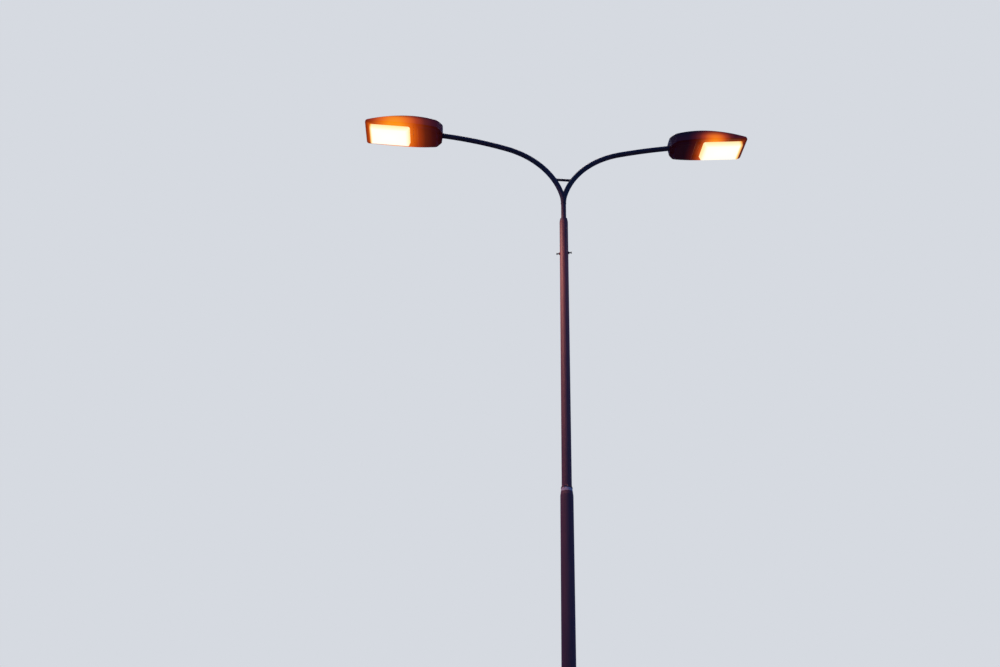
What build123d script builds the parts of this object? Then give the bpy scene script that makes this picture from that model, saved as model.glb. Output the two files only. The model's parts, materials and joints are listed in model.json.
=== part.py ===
from build123d import *
from math import asin, cos, degrees, radians, sin, sqrt
import os

os.makedirs("parts", exist_ok=True)

# Sizes are millimetres. The origin is the middle of the base plate's underside and +Z is up.
# The two arms lie in the XZ plane, the left one towards -X. The cable door faces -Y.

# Base plate
plate_side = 400.0
plate_thickness = 25.0
plate_corner_radius = 12.0
plate_edge_chamfer = 2.0
anchor_spacing = 300.0
anchor_hole_diameter = 30.0
cable_hole_diameter = 100.0
gusset_reach = 95.0
gusset_height = 160.0
gusset_thickness = 10.0
gusset_toe = 15.0

# Stepped mast: three tubes, each one swaged in onto the next
lower_diameter = 139.7
lower_wall = 4.5
lower_top = 2600.0
middle_diameter = 114.3
middle_wall = 4.0
middle_top = 5000.0
top_diameter = 88.9
top_wall = 3.6
mast_top = 8059.0
shoulder_height = 70.0
tube_overlap = 180.0
swage_clearance = 0.2
weld_ring_height = 11.0
weld_ring_round = 3.0

# Cable door in the lower tube
door_bottom = 600.0
door_height = 400.0
door_width = 92.0
door_corner_radius = 14.0
door_gap = 1.5
door_seat_gap = 0.3
door_frame_thickness = 5.0
door_frame_margin = 14.0
door_frame_lap = 9.0
lock_diameter = 22.0
lock_inset = 34.0
lock_stand_out = 2.5
lock_key_size = 6.0
lock_key_depth = 4.0

# Bracket: a stem in the mast's head, two bent arms and a tie bar
stem_diameter = 54.0
stem_wall = 3.6
stem_below_screws = 100.0
fork_rise = 265.0
cap_height = 40.0
cap_top_diameter = 76.0
spacer_height = 42.0
spacer_clearance = 0.3
arm_diameter = 57.0
arm_wall = 3.2
fork_bend_radius = 509.0
fork_bend_end = 76.4
main_bend_radius = 935.0
main_bend_end = 17.5
arm_end_run = 60.0
arm_reach = {"left": 1384.0, "right": 1230.0}
arm_end_slope = {"left": 6.9, "right": 12.0}
tie_bar_rise = 350.0
tie_bar_diameter = 28.0

# Set screws that hold the bracket in the mast's head
screw_drop = 429.0
screw_turn = 13.0
screw_diameter = 12.0
screw_hole_clearance = 0.6
screw_stand_out = 35.0
screw_head_across_flats = 19.0
screw_head_height = 10.0
boss_across_flats = 24.0
boss_length = 10.0
screw_tip_gap = 0.3

# Lantern body, in its own frame: x runs outwards from the nose, z = 0 is the rim
lantern_droop = 5.4
lantern_roll = 2.2
nose_width = 160.0
shoulder_x = 60.0
shoulder_narrowing = 56.0
widest_x = 400.0
tail_narrowing = 16.0
nose_corner_radius = 40.0
shoulder_corner_radius = 55.0
tail_corner_radius = 30.0
crown_height = 172.0
crown_peak_x = 318.0
crown_tail_height = 58.0
crown_flat_width = 40.0
crown_ridge_slope = 3.0
crown_cross_radius = 400.0
crown_turn_reserve = 4.0
crown_edge_round = 22.0
housing_wall = 3.0
rim_lip_width = 12.0
rim_lip_thickness = 4.0

# Lantern parts that carry the lids
lid_inset = 6.0
lid_thickness = 5.0
seal_gap = 0.5
lid_gap = 4.0
bulkhead_x = 312.0
bulkhead_thickness = 4.0
cross_strip_width = 20.0
nose_strip_end = 24.0
hinge_drop = 12.0
hinge_radius = 6.0
hinge_pin_radius = 3.0
hinge_running_clearance = 0.08
hinge_knuckle_width = 14.0
hinge_ear_width = 6.0
hinge_side_gap = 1.0
hinge_pin_overhang = 1.0
bowl_hinge_spacing = 210.0
cover_hinge_spacing = 96.0

# Glass bowl, its frame and the reflector and lamp above it
bowl_length = 462.0
bowl_width = 254.0
bowl_nose_margin = 38.0
bowl_tail_margin = 44.0
bowl_side_margin = 50.0
bowl_depth = 62.0
bowl_draft = 9.0
bowl_corner_radius = 24.0
bowl_edge_round = 14.0
bowl_wall = 4.0
bowl_clearance = 1.0
bowl_flange_width = 8.0
bowl_flange_thickness = 3.0
frame_bead_width = 9.0
frame_bead_depth = 4.0
reflector_end_overlap = 8.0
reflector_side_inset = 5.0
reflector_end_slant = 41.0
reflector_side_slant = 56.0
reflector_height = 62.0
reflector_rim_height = 8.0
reflector_corner_radius = 30.0
reflector_wall = 1.5
reflector_flange = 8.0
lamp_height = 37.0
lamp_diameter = 46.0
lamp_neck_diameter = 39.0
lamp_bulb_length = 205.0
lamp_neck_length = 30.0
lamp_cap_length = 34.0
holder_diameter = 56.0
holder_length = 52.0
holder_bore_clearance = 0.6
holder_hole_clearance = 4.0
holder_edge_chamfer = 2.0

# Control gear behind the gear cover
cover_belly_depth = 22.0
cover_belly_margin = 16.0
cover_belly_taper = 35.0
cover_belly_round = 8.0
cover_wall = 3.0
tray_length = 150.0
tray_width = 210.0
tray_thickness = 2.5
tray_height = 78.0
tray_flange = 14.0
tray_nose_gap = 136.0
post_diameter = 12.0
post_inset = 14.0
post_gap = 0.3
ballast_length = 108.0
ballast_width = 76.0
ballast_core_height = 42.0
ballast_coil_height = 58.0
ballast_coil_length = 62.0
ballast_offset = 48.0
ballast_coil_inset = 4.0
ballast_coil_round = 6.0
capacitor_diameter = 40.0
capacitor_length = 98.0
capacitor_offset = 44.0
capacitor_edge_round = 3.0

# Clamp that grips the arm inside the nose
spigot_height = 31.0
spigot_insertion = 104.0
spigot_hole_clearance = 1.5
spigot_boss_thickness = 6.0
spigot_boss_stand_out = 6.0
clamp_start = 46.0
clamp_length = 36.0
clamp_width = 112.0
clamp_gap = 6.0
clamp_depth = 34.0
clamp_bore_clearance = 0.3
clamp_bolt_diameter = 10.0
clamp_bolt_spacing = 84.0
clamp_bolt_hole_clearance = 0.5
clamp_bolt_head_height = 7.0
clamp_bolt_head_across_flats = 17.0

# Quarter-turn catches
catch_head_diameter = 14.0
catch_head_height = 4.0
catch_shank_diameter = 8.0
catch_clearance = 0.3
catch_slot_width = 2.0
catch_slot_depth = 2.0
catch_tail_inset = 24.0
catch_spacing = 220.0
cover_catch_inset = 8.5

# Values that follow from the sizes above
lower_radius = lower_diameter / 2
lower_bore_radius = lower_radius - lower_wall
middle_radius = middle_diameter / 2
top_radius = top_diameter / 2
top_bore_radius = top_radius - top_wall
stem_radius = stem_diameter / 2
arm_radius = arm_diameter / 2
cap_top = mast_top + cap_height
fork_height = mast_top + fork_rise
tie_bar_height = fork_height + tie_bar_rise
screw_height = mast_top - screw_drop
stem_bottom = screw_height - stem_below_screws
door_middle = door_bottom + door_height / 2
lid_top = -seal_gap
lid_bottom = lid_top - lid_thickness
cross_strip_start = bulkhead_x - cross_strip_width / 2
cross_strip_end = bulkhead_x + cross_strip_width / 2
frame_start = cross_strip_end + lid_gap
cover_start = nose_strip_end + lid_gap
cover_end = cross_strip_start - lid_gap
bowl_hinge_x = cross_strip_end - lid_gap
cover_hinge_x = nose_strip_end - lid_gap
bowl_middle_x = frame_start + bowl_nose_margin + bowl_length / 2
lantern_length = bowl_middle_x + bowl_length / 2 + bowl_tail_margin
widest_width = bowl_width + 2 * bowl_side_margin
shoulder_width = widest_width - shoulder_narrowing
tail_width = widest_width - tail_narrowing
reflector_length = bowl_length + 2 * reflector_end_overlap
reflector_width = bowl_width - 2 * reflector_side_inset
reflector_top_length = reflector_length - 2 * reflector_end_slant
reflector_top_width = reflector_width - 2 * reflector_side_slant
crown_run = lantern_length - crown_peak_x
crown_drop = crown_height - crown_tail_height
crown_long_radius = (crown_run**2 + crown_drop**2) / (2 * crown_drop)
crown_reach = max(crown_peak_x, crown_run)
crown_turn = degrees(asin(crown_reach / crown_long_radius)) + crown_turn_reserve
wide_enough = 2 * widest_width
tall_enough = 2 * crown_height
holder_start = bulkhead_x + bulkhead_thickness / 2
holder_end = holder_start + holder_length
tray_start = tray_nose_gap
tray_middle_x = tray_start + tray_length / 2


def tube(outer_radius, wall, bottom, top, neck_bore_radius=None):
    """A straight round tube; its top is swaged in to neck_bore_radius where one is given."""
    inner_radius = outer_radius - wall
    with BuildPart() as body:
        with BuildSketch(Plane.XZ):
            with BuildLine():
                if neck_bore_radius is None:
                    Polyline(
                        (inner_radius, bottom),
                        (outer_radius, bottom),
                        (outer_radius, top),
                        (inner_radius, top),
                        close=True,
                    )
                else:
                    Polyline(
                        (inner_radius, bottom),
                        (outer_radius, bottom),
                        (outer_radius, top - shoulder_height),
                        (neck_bore_radius + wall, top),
                        (neck_bore_radius, top),
                        (inner_radius, top - shoulder_height),
                        close=True,
                    )
            make_face()
        revolve(axis=Axis.Z)
    return body.part


def weld_ring(inner_radius, width, bottom):
    """A rounded bead that closes a step of the mast."""
    with BuildPart() as ring:
        with BuildSketch(Plane.XY.offset(bottom)):
            Circle(inner_radius + swage_clearance + width)
            Circle(inner_radius + swage_clearance, mode=Mode.SUBTRACT)
        extrude(amount=weld_ring_height)
        fillet(ring.edges().group_by(Axis.Z)[-1].sort_by(SortBy.RADIUS)[-1], weld_ring_round)
    return ring.part


def door_panel(outer_radius, inner_radius, width, height, corner_radius):
    """A rounded rectangle cut from a tube wall, centred on the door."""
    with BuildPart() as panel:
        with BuildSketch(Plane.XY.offset(door_middle - height)):
            Circle(outer_radius)
            Circle(inner_radius, mode=Mode.SUBTRACT)
        extrude(amount=2 * height)
        with BuildSketch(Plane.XZ):
            with Locations((0, door_middle)):
                RectangleRounded(width, height, corner_radius)
        extrude(amount=outer_radius + 1, mode=Mode.INTERSECT)
    return panel.part


# Base plate and its gussets
with BuildPart() as base_plate:
    with BuildSketch():
        RectangleRounded(plate_side, plate_side, plate_corner_radius)
        Circle(cable_hole_diameter / 2, mode=Mode.SUBTRACT)
        with GridLocations(anchor_spacing, anchor_spacing, 2, 2):
            Circle(anchor_hole_diameter / 2, mode=Mode.SUBTRACT)
    extrude(amount=plate_thickness)
    chamfer(base_plate.faces().sort_by(Axis.Z)[-1].outer_wire().edges(), plate_edge_chamfer)

gusset_inner = lower_radius + swage_clearance
with BuildPart() as base_gussets:
    for turn in (0, 90, 180, 270):
        with BuildSketch(Plane.XZ.rotated((0, 0, turn))):
            with BuildLine():
                Polyline(
                    (gusset_inner, plate_thickness),
                    (gusset_inner + gusset_reach, plate_thickness),
                    (gusset_inner + gusset_reach, plate_thickness + gusset_toe),
                    (gusset_inner + gusset_toe, plate_thickness + gusset_height),
                    (gusset_inner, plate_thickness + gusset_height),
                    close=True,
                )
            make_face()
        extrude(amount=gusset_thickness / 2, both=True)

# Mast tubes and the rings that close their steps
lower_neck_radius = middle_radius + swage_clearance
lower_shell = tube(lower_radius, lower_wall, plate_thickness, lower_top, lower_neck_radius)
with BuildPart() as lower_tube:
    add(lower_shell)
    with BuildSketch(Plane.XZ):
        with Locations((0, door_middle)):
            RectangleRounded(door_width, door_height, door_corner_radius)
    extrude(amount=lower_radius + 1, mode=Mode.SUBTRACT)

middle_bottom = lower_top - tube_overlap
middle_neck_radius = top_radius + swage_clearance
middle_tube = tube(middle_radius, middle_wall, middle_bottom, middle_top, middle_neck_radius)

lower_weld_ring = weld_ring(middle_radius, lower_wall, lower_top)
upper_weld_ring = weld_ring(top_radius, middle_wall, middle_top)

# Cable door, the frame behind it and its two key locks
door_outer_radius = lower_radius
frame_outer_radius = lower_bore_radius - swage_clearance
door_inner_radius = frame_outer_radius + door_seat_gap
lock_heights = (door_bottom + lock_inset, door_bottom + door_height - lock_inset)

frame_panel = door_panel(
    frame_outer_radius,
    frame_outer_radius - door_frame_thickness,
    door_width + 2 * door_frame_margin,
    door_height + 2 * door_frame_margin,
    door_corner_radius + door_frame_margin,
)
with BuildPart() as door_frame:
    add(frame_panel)
    with BuildSketch(Plane.XZ):
        with Locations((0, door_middle)):
            RectangleRounded(
                door_width - 2 * door_frame_lap,
                door_height - 2 * (lock_inset + lock_diameter),
                door_corner_radius,
            )
    extrude(amount=lower_radius, mode=Mode.SUBTRACT)

door_leaf = door_panel(
    door_outer_radius,
    door_inner_radius,
    door_width - 2 * door_gap,
    door_height - 2 * door_gap,
    door_corner_radius - door_gap,
)
with BuildPart() as door:
    add(door_leaf)
    with BuildSketch(Plane.XZ):
        for height in lock_heights:
            with Locations((0, height)):
                Circle(lock_diameter / 2 + door_seat_gap)
    extrude(amount=lower_radius + 1, mode=Mode.SUBTRACT)

with BuildPart() as door_locks:
    with BuildSketch(Plane.XZ.offset(door_inner_radius)):
        for height in lock_heights:
            with Locations((0, height)):
                Circle(lock_diameter / 2)
    extrude(amount=lower_radius + lock_stand_out - door_inner_radius)
    with BuildSketch(Plane.XZ.offset(lower_radius + lock_stand_out)):
        for height in lock_heights:
            with Locations((0, height)):
                RegularPolygon(lock_key_size, 3)
    extrude(amount=-lock_key_depth, mode=Mode.SUBTRACT)

# Set screws: each one runs in a boss on the mast and presses on the spacer ring
screw_planes = []
for turn in (-screw_turn, 180 - screw_turn):
    heading = Vector(cos(radians(turn)), sin(radians(turn)), 0)
    screw_planes.append(Plane(origin=(0, 0, screw_height), z_dir=heading))
spacer_radius = top_bore_radius - spacer_clearance
screw_tip = spacer_radius + screw_tip_gap
screw_end = top_radius + screw_stand_out

top_shell = tube(top_radius, top_wall, middle_top - tube_overlap, mast_top)
with BuildPart() as top_tube:
    add(top_shell)
    for plane in screw_planes:
        with BuildSketch(plane.offset(top_bore_radius + top_wall / 2)):
            RegularPolygon(boss_across_flats / 2, 6, major_radius=False)
        extrude(amount=top_wall / 2 + boss_length)
    for plane in screw_planes:
        with BuildSketch(plane.offset(top_bore_radius - top_wall)):
            Circle(screw_diameter / 2 + screw_hole_clearance)
        extrude(amount=3 * top_wall + boss_length, mode=Mode.SUBTRACT)

with BuildPart() as set_screws:
    for plane in screw_planes:
        with BuildSketch(plane.offset(screw_tip)):
            Circle(screw_diameter / 2)
        extrude(amount=screw_end - screw_head_height - screw_tip)
        with BuildSketch(plane.offset(screw_end - screw_head_height)):
            RegularPolygon(screw_head_across_flats / 2, 6, major_radius=False)
        extrude(amount=screw_head_height)

# Bracket stem with the cap and the spacer rings that centre it in the mast
with BuildPart() as bracket_stem:
    with BuildSketch(Plane.XY.offset(stem_bottom)):
        Circle(stem_radius)
        Circle(stem_radius - stem_wall, mode=Mode.SUBTRACT)
    extrude(amount=fork_height - stem_bottom)

with BuildPart() as bracket_cap:
    with BuildSketch(Plane.XZ):
        with BuildLine():
            Polyline(
                (stem_radius + swage_clearance, mast_top),
                (top_radius, mast_top),
                (cap_top_diameter / 2, cap_top),
                (stem_radius + swage_clearance, cap_top),
                close=True,
            )
        make_face()
    revolve(axis=Axis.Z)

with BuildPart() as spacer_rings:
    for middle in (screw_height, mast_top - spacer_height):
        with BuildSketch(Plane.XY.offset(middle - spacer_height / 2)):
            Circle(spacer_radius)
            Circle(stem_radius + swage_clearance, mode=Mode.SUBTRACT)
        extrude(amount=spacer_height)


def arm_path(side):
    """The arm's centre line: a tight bend at the fork, the main bend, a slight bend, the end."""
    way = {"left": -1, "right": 1}[side]
    slope = radians(arm_end_slope[side])
    fork_run = fork_bend_radius * (1 - sin(radians(fork_bend_end)))
    main_run = main_bend_radius * (sin(radians(fork_bend_end)) - sin(radians(main_bend_end)))
    outer_run = arm_reach[side] - arm_end_run * cos(slope) - fork_run - main_run
    outer_radius = outer_run / (sin(radians(main_bend_end)) - sin(slope))
    bends = (
        (fork_bend_radius, 90 - fork_bend_end),
        (main_bend_radius, fork_bend_end - main_bend_end),
        (outer_radius, main_bend_end - arm_end_slope[side]),
    )
    with BuildLine(Plane.XZ) as path:
        start = (0, fork_height)
        tangent = (0, 1)
        for radius, turn in bends:
            bend = JernArc(start=start, tangent=tangent, radius=radius, arc_size=-way * turn)
            start = (bend @ 1).X, (bend @ 1).Z
            tangent = (bend % 1).X, (bend % 1).Z
        Line(
            start,
            (
                start[0] + (arm_end_run + spigot_insertion) * tangent[0],
                start[1] + (arm_end_run + spigot_insertion) * tangent[1],
            ),
        )
    entry = Vector(
        start[0] + arm_end_run * tangent[0], 0, start[1] + arm_end_run * tangent[1]
    )
    return path.line, entry


def swept_arm(side, wall):
    """One arm, cut off at the fork's middle plane; a wall of 0 leaves it solid."""
    path, _ = arm_path(side)
    keep = {"left": Keep.BOTTOM, "right": Keep.TOP}[side]
    with BuildPart() as arm:
        with BuildSketch(Plane.XY.offset(fork_height)):
            Circle(arm_radius)
            if wall:
                Circle(arm_radius - wall, mode=Mode.SUBTRACT)
        sweep(path=path)
        split(bisect_by=Plane.YZ, keep=keep)
    return arm.part


arms = {side: swept_arm(side, arm_wall) for side in ("left", "right")}
solid_arms = [swept_arm(side, 0) for side in ("left", "right")]

with BuildPart() as cross_bar:
    with BuildSketch(Plane.YZ.offset(-arm_diameter * 2)):
        with Locations((0, tie_bar_height)):
            Circle(tie_bar_diameter / 2)
    extrude(amount=arm_diameter * 4)
    for solid_arm in solid_arms:
        add(solid_arm, mode=Mode.SUBTRACT)
tie_bar = cross_bar.part.solids().sort_by(lambda solid: abs(solid.center().X))[0]


def lantern_outline(inset, start=None, end=None):
    """The lantern's plan shape, set in by inset and kept between start and end along x."""
    with BuildSketch() as outline:
        with BuildLine():
            nose_side = (0, nose_width / 2)
            shoulder = (shoulder_x, shoulder_width / 2)
            widest = (widest_x, widest_width / 2)
            tail = (lantern_length, tail_width / 2)
            Line(nose_side, shoulder)
            TangentArc(widest, shoulder, tangent=(-1, 0))
            TangentArc(widest, tail, tangent=(1, 0))
            Line(tail, (lantern_length, 0))
            Line((0, 0), nose_side)
            mirror(about=Plane.XZ)
        make_face()
        for x, radius in (
            (0, nose_corner_radius),
            (shoulder_x, shoulder_corner_radius),
            (lantern_length, tail_corner_radius),
        ):
            corners = outline.vertices().filter_by(lambda v: abs(v.X - x) < 1 and abs(v.Y) > 1)
            fillet(corners, radius)
        if inset:
            offset(amount=-inset)
        if start is not None:
            with Locations(((start + end) / 2, 0)):
                Rectangle(end - start, wide_enough, mode=Mode.INTERSECT)
    return outline.sketch


def lantern_form(inset):
    """The domed body of the lantern above its rim, set in by inset on every side but the rim."""
    long_radius = crown_long_radius - inset
    cross_radius = crown_cross_radius - inset
    half_flat = crown_flat_width / 2
    half_width = widest_width / 2 + rim_lip_width
    ridge_slope = radians(crown_ridge_slope)
    bend_width = half_width - half_flat + cross_radius * sin(ridge_slope)
    bend_centre = long_radius - cross_radius * cos(ridge_slope)
    shoulder_radius = bend_centre + sqrt(cross_radius**2 - bend_width**2)
    inner_radius = long_radius - tall_enough
    turn = radians(crown_turn)
    crown_centre = (crown_peak_x, 0, crown_height - crown_long_radius)
    first_section = Plane(origin=crown_centre, x_dir=(0, 1, 0), z_dir=(cos(turn), 0, sin(turn)))
    plan = lantern_outline(inset)
    with BuildPart() as form:
        with BuildSketch(first_section):
            with BuildLine():
                Polyline(
                    (-half_width, shoulder_radius),
                    (-half_width, inner_radius),
                    (half_width, inner_radius),
                    (half_width, shoulder_radius),
                )
                Line((-half_flat, long_radius), (half_flat, long_radius))
                for way in (-1, 1):
                    ridge = (way * half_flat, long_radius)
                    shoulder = (way * half_width, shoulder_radius)
                    heading = (way * cos(ridge_slope), -sin(ridge_slope))
                    TangentArc(ridge, shoulder, tangent=heading)
            make_face()
        revolve(axis=Axis(crown_centre, (0, 1, 0)), revolution_arc=2 * crown_turn)
        add(plan)
        extrude(amount=tall_enough, mode=Mode.INTERSECT)
        top_edges = form.edges().filter_by(lambda e: e.center().Z > rim_lip_thickness)
        rim_of_crown = top_edges.filter_by(lambda e: abs(e.tangent_at(0.5).Z) < 0.9)
        fillet(rim_of_crown, crown_edge_round - inset)
    return form.part


outer_form = lantern_form(0)
inner_form = lantern_form(housing_wall)
middle_form = lantern_form(housing_wall / 2)

# The lantern is rigid about the arm's end: this plane's normal runs outwards along the arm
droop = radians(lantern_droop)
spigot_axis = Plane(
    origin=(0, 0, spigot_height), x_dir=(0, 1, 0), z_dir=(cos(droop), 0, sin(droop))
)
clamp_middle = spigot_axis.offset(clamp_start + clamp_length / 2)
clamp_plane = Plane(origin=clamp_middle.origin, x_dir=(0, 1, 0), z_dir=clamp_middle.y_dir)
hinges = ((bowl_hinge_x, bowl_hinge_spacing), (cover_hinge_x, cover_hinge_spacing))
tray_post_spacing = (tray_length - 2 * post_inset, tray_width - 2 * post_inset)
reflector_post_spacing = (
    reflector_length - 2 * reflector_corner_radius,
    reflector_width + reflector_flange,
)
reflector_top = reflector_rim_height + reflector_wall


def hinge_block(x, spacing, widths, reach, top):
    """Hinge eyes on one axis: an eye of each width at each offset, with a web of that reach."""
    with BuildPart() as block:
        for middle in (-spacing / 2, spacing / 2):
            for shift, width in widths:
                with BuildSketch(Plane.XZ.offset(-middle - shift)):
                    with Locations((x, -hinge_drop)):
                        Circle(hinge_radius)
                    with BuildLine():
                        Polyline(
                            (x + reach[0], -hinge_drop),
                            (x + reach[0], top),
                            (x + reach[1], top),
                            (x + reach[1], -hinge_drop),
                            close=True,
                        )
                    make_face()
                extrude(amount=width / 2, both=True)
    return block.part


def hinge_bore(x, radius):
    """The straight hole through every hinge eye on one axis."""
    with BuildPart() as bore:
        with BuildSketch(Plane.XZ.offset(-wide_enough / 2)):
            with Locations((x, -hinge_drop)):
                Circle(radius)
        extrude(amount=wide_enough)
    return bore.part


def lid_knuckles(x, spacing, lid_start):
    """A lid's hinge eyes: an arm from the axis to the lid and a foot under the lid's edge."""
    lid_edge = lid_start - x
    arm_end = lid_edge + hinge_knuckle_width
    eyes = hinge_block(x, spacing, knuckle_place, (0, arm_end), knuckle_top)
    feet = hinge_block(x, spacing, knuckle_place, (lid_edge, arm_end), lid_bottom)
    return eyes + feet


ear_shift = (hinge_knuckle_width + hinge_ear_width) / 2 + hinge_side_gap
ear_places = ((-ear_shift, hinge_ear_width), (ear_shift, hinge_ear_width))
knuckle_place = ((0, hinge_knuckle_width),)

# What stands inside the housing: bulkhead, posts and the upper half of the arm's saddle
with BuildPart() as housing_works:
    with BuildSketch():
        with Locations((bulkhead_x, 0)):
            Rectangle(bulkhead_thickness, wide_enough)
    extrude(amount=tall_enough)
    with BuildSketch(Plane.XY.offset(tray_height + tray_thickness + post_gap)):
        with Locations((tray_middle_x, 0)):
            with GridLocations(*tray_post_spacing, 2, 2):
                Circle(post_diameter / 2)
    extrude(amount=tall_enough)
    with BuildSketch(Plane.XY.offset(reflector_top + post_gap)):
        with Locations((bowl_middle_x, 0)):
            with GridLocations(*reflector_post_spacing, 2, 2):
                Circle(reflector_flange / 2)
    extrude(amount=tall_enough)
    with BuildSketch(spigot_axis.offset(clamp_start)):
        with Locations((0, (clamp_gap + wide_enough) / 2)):
            Rectangle(clamp_width, wide_enough)
        Circle(arm_radius + clamp_bore_clearance, mode=Mode.SUBTRACT)
    extrude(amount=clamp_length)
    add(middle_form, mode=Mode.INTERSECT)

ear_web = (-lid_gap, lid_gap)
hinge_ears = [hinge_block(x, spacing, ear_places, ear_web, lid_bottom) for x, spacing in hinges]
ear_bores = [hinge_bore(x, hinge_pin_radius) for x, _ in hinges]
with BuildPart() as housing:
    add(outer_form)
    add(inner_form, mode=Mode.SUBTRACT)
    add(lantern_outline(housing_wall / 2))
    extrude(amount=rim_lip_thickness)
    add(lantern_outline(housing_wall + rim_lip_width))
    extrude(amount=rim_lip_thickness, mode=Mode.SUBTRACT)
    for start, end in ((0, nose_strip_end), (cross_strip_start, cross_strip_end)):
        add(lantern_outline(lid_inset, start, end))
        extrude(amount=rim_lip_thickness)
        add(lantern_outline(lid_inset, start, end))
        extrude(amount=lid_bottom)
    add(housing_works.part)
    with BuildSketch(spigot_axis.offset(-spigot_boss_stand_out)):
        Circle(arm_radius + spigot_hole_clearance + spigot_boss_thickness)
    extrude(amount=2 * spigot_boss_stand_out)
    with BuildSketch(spigot_axis.offset(-2 * spigot_boss_stand_out)):
        Circle(arm_radius + spigot_hole_clearance)
    extrude(amount=4 * spigot_boss_stand_out, mode=Mode.SUBTRACT)
    with BuildSketch(clamp_plane):
        with GridLocations(clamp_bolt_spacing, 1, 2, 1):
            Circle(clamp_bolt_diameter / 2 + clamp_bolt_hole_clearance)
    extrude(amount=clamp_depth / 2, mode=Mode.SUBTRACT)
    for ears, ear_bore in zip(hinge_ears, ear_bores):
        add(ears)
        add(ear_bore, mode=Mode.SUBTRACT)

# The lower saddle and the two bolts that pull it up against the arm
with BuildPart() as spigot_clamp:
    with BuildSketch(spigot_axis.offset(clamp_start)):
        with Locations((0, -(clamp_depth + clamp_gap / 2) / 2)):
            Rectangle(clamp_width, clamp_depth - clamp_gap / 2)
        Circle(arm_radius + clamp_bore_clearance, mode=Mode.SUBTRACT)
    extrude(amount=clamp_length)
    with BuildSketch(clamp_plane):
        with GridLocations(clamp_bolt_spacing, 1, 2, 1):
            Circle(clamp_bolt_diameter / 2 + clamp_bolt_hole_clearance)
    extrude(amount=-2 * clamp_depth, mode=Mode.SUBTRACT)
    with BuildSketch(clamp_plane.offset(-clamp_depth - clamp_bore_clearance)):
        with GridLocations(clamp_bolt_spacing, 1, 2, 1):
            RegularPolygon(clamp_bolt_head_across_flats / 2, 6, major_radius=False)
    extrude(amount=-clamp_bolt_head_height)
    with BuildSketch(clamp_plane.offset(-clamp_depth - clamp_bore_clearance)):
        with GridLocations(clamp_bolt_spacing, 1, 2, 1):
            Circle(clamp_bolt_diameter / 2)
    extrude(amount=clamp_depth + clamp_depth / 2 - clamp_bore_clearance)

# Bowl frame: the hinged plate that carries the glass bowl
frame_opening = (bowl_length + 2 * bowl_clearance, bowl_width + 2 * bowl_clearance)
frame_opening_corner = bowl_corner_radius + bowl_clearance
knuckle_top = lid_bottom - seal_gap
bore_radius = hinge_pin_radius + hinge_running_clearance
frame_knuckles = lid_knuckles(bowl_hinge_x, bowl_hinge_spacing, frame_start)
frame_bore = hinge_bore(bowl_hinge_x, bore_radius)
with BuildPart() as bowl_frame:
    with BuildSketch(Plane.XY.offset(lid_top)):
        add(lantern_outline(lid_inset, frame_start, lantern_length))
    extrude(amount=-lid_thickness)
    with BuildSketch(Plane.XY.offset(lid_bottom)):
        with Locations((bowl_middle_x, 0)):
            RectangleRounded(
                frame_opening[0] + 2 * frame_bead_width,
                frame_opening[1] + 2 * frame_bead_width,
                frame_opening_corner + frame_bead_width,
            )
    extrude(amount=-frame_bead_depth)
    bead_edges = bowl_frame.faces().sort_by(Axis.Z)[0].outer_wire().edges()
    fillet(bead_edges, frame_bead_depth / 2)
    with BuildSketch(Plane.XY.offset(lid_top)):
        with Locations((bowl_middle_x, 0)):
            RectangleRounded(frame_opening[0], frame_opening[1], frame_opening_corner)
    extrude(amount=-2 * lid_thickness - frame_bead_depth, mode=Mode.SUBTRACT)
    with BuildSketch(Plane.XY.offset(lid_top)):
        with Locations((lantern_length - catch_tail_inset, 0)):
            with GridLocations(1, catch_spacing, 1, 2):
                Circle(catch_shank_diameter / 2 + catch_clearance)
    extrude(amount=-lid_thickness, mode=Mode.SUBTRACT)
    add(frame_knuckles)
    add(frame_bore, mode=Mode.SUBTRACT)


def bowl_block(inset, top, depth, edge_round):
    """The bowl's tapered block, set in by inset, from top down to depth below the rim."""
    with BuildPart() as block:
        with BuildSketch(Plane.XY.offset(top)):
            with Locations((bowl_middle_x, 0)):
                RectangleRounded(
                    bowl_length - 2 * inset, bowl_width - 2 * inset, bowl_corner_radius - inset
                )
        extrude(amount=-(depth + top), taper=bowl_draft)
        fillet(block.faces().sort_by(Axis.Z)[0].edges(), edge_round)
    return block.part


bowl_flange_top = lid_top + bowl_flange_thickness
bowl_outside = bowl_block(0, lid_top, bowl_depth, bowl_edge_round)
bowl_inside = bowl_block(
    bowl_wall, bowl_flange_top, bowl_depth - bowl_wall, bowl_edge_round - bowl_wall
)
with BuildPart() as bowl:
    add(bowl_outside)
    with BuildSketch(Plane.XY.offset(lid_top)):
        with Locations((bowl_middle_x, 0)):
            RectangleRounded(
                bowl_length + 2 * bowl_flange_width,
                bowl_width + 2 * bowl_flange_width,
                bowl_corner_radius + bowl_flange_width,
            )
    extrude(amount=bowl_flange_thickness)
    add(bowl_inside, mode=Mode.SUBTRACT)


def reflector_block(inset):
    """The reflector's tapered trough, set in by inset."""
    with BuildPart() as block:
        with BuildSketch(Plane.XY.offset(reflector_rim_height)):
            with Locations((bowl_middle_x, 0)):
                RectangleRounded(
                    reflector_length - 2 * inset,
                    reflector_width - 2 * inset,
                    reflector_corner_radius,
                )
        with BuildSketch(Plane.XY.offset(reflector_rim_height + reflector_height - inset)):
            with Locations((bowl_middle_x, 0)):
                RectangleRounded(
                    reflector_top_length - 2 * inset,
                    reflector_top_width - 2 * inset,
                    reflector_corner_radius,
                )
        loft()
    return block.part


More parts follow.
